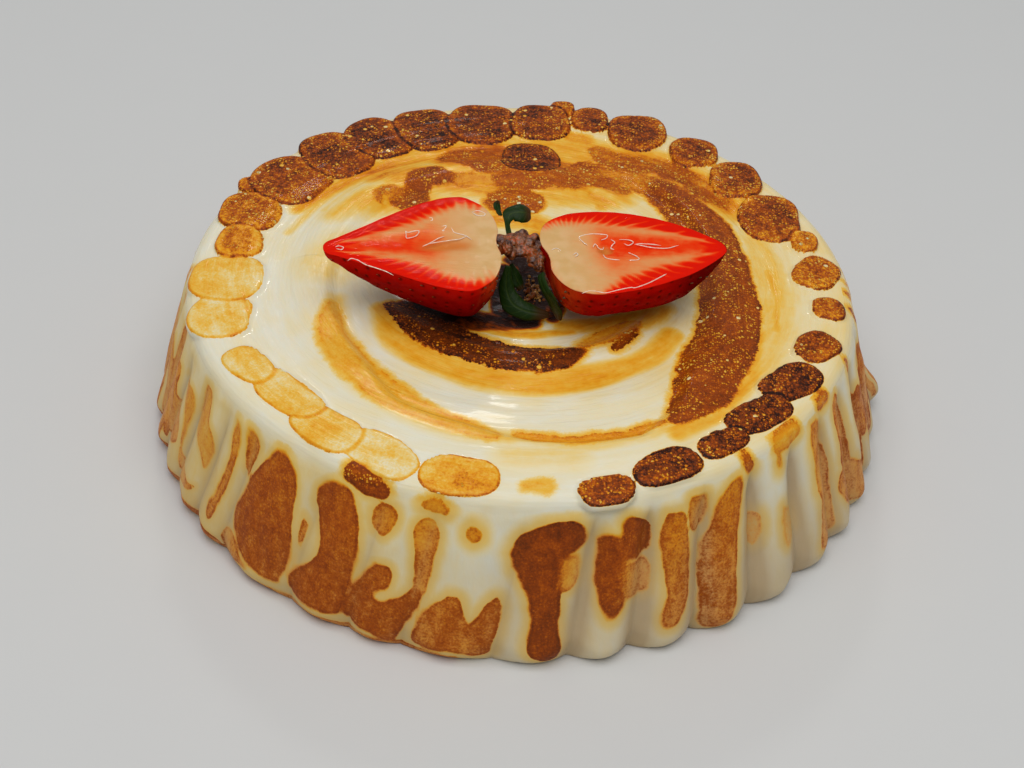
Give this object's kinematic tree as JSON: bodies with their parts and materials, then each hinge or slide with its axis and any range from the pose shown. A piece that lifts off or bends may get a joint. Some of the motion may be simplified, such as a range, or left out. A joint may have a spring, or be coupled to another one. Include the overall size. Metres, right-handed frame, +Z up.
{
  "type": "meringue cake",
  "caption": "Low round cake coated in toasted meringue, with piped upright ribs, a rim of flattened browned pips, a swirled top and halved strawberries with leaves on it.",
  "frame": {"origin": "on the surface the cake stands on, under the middle of its round base", "axes": "+Z up out of the top, +X to the right and +Y away from the shown front, the strawberry halves lying along X"},
  "size_m": [0.2166, 0.2141, 0.0668],
  "materials": {
    "meringue": "soft glossy meringue, cream white, toasted golden to dark brown",
    "strawberry": "wet glossy red berry skin, pale streaked cut face",
    "leaf": "dark green leaf, satin, browned at one tip",
    "stem_end": "dried brown stem end, moist"
  },
  "bodies": {
    "root": {"meringue_cake": "meringue", "strawberry_half_left": "strawberry", "strawberry_half_right": "strawberry", "leaf_back": "leaf", "leaf_curl": "leaf", "leaf_front": "leaf", "leaf_inner": "leaf", "leaf_right": "leaf", "stem_end_left": "stem_end", "stem_end_right": "stem_end"}
  },
  "joints": []
}
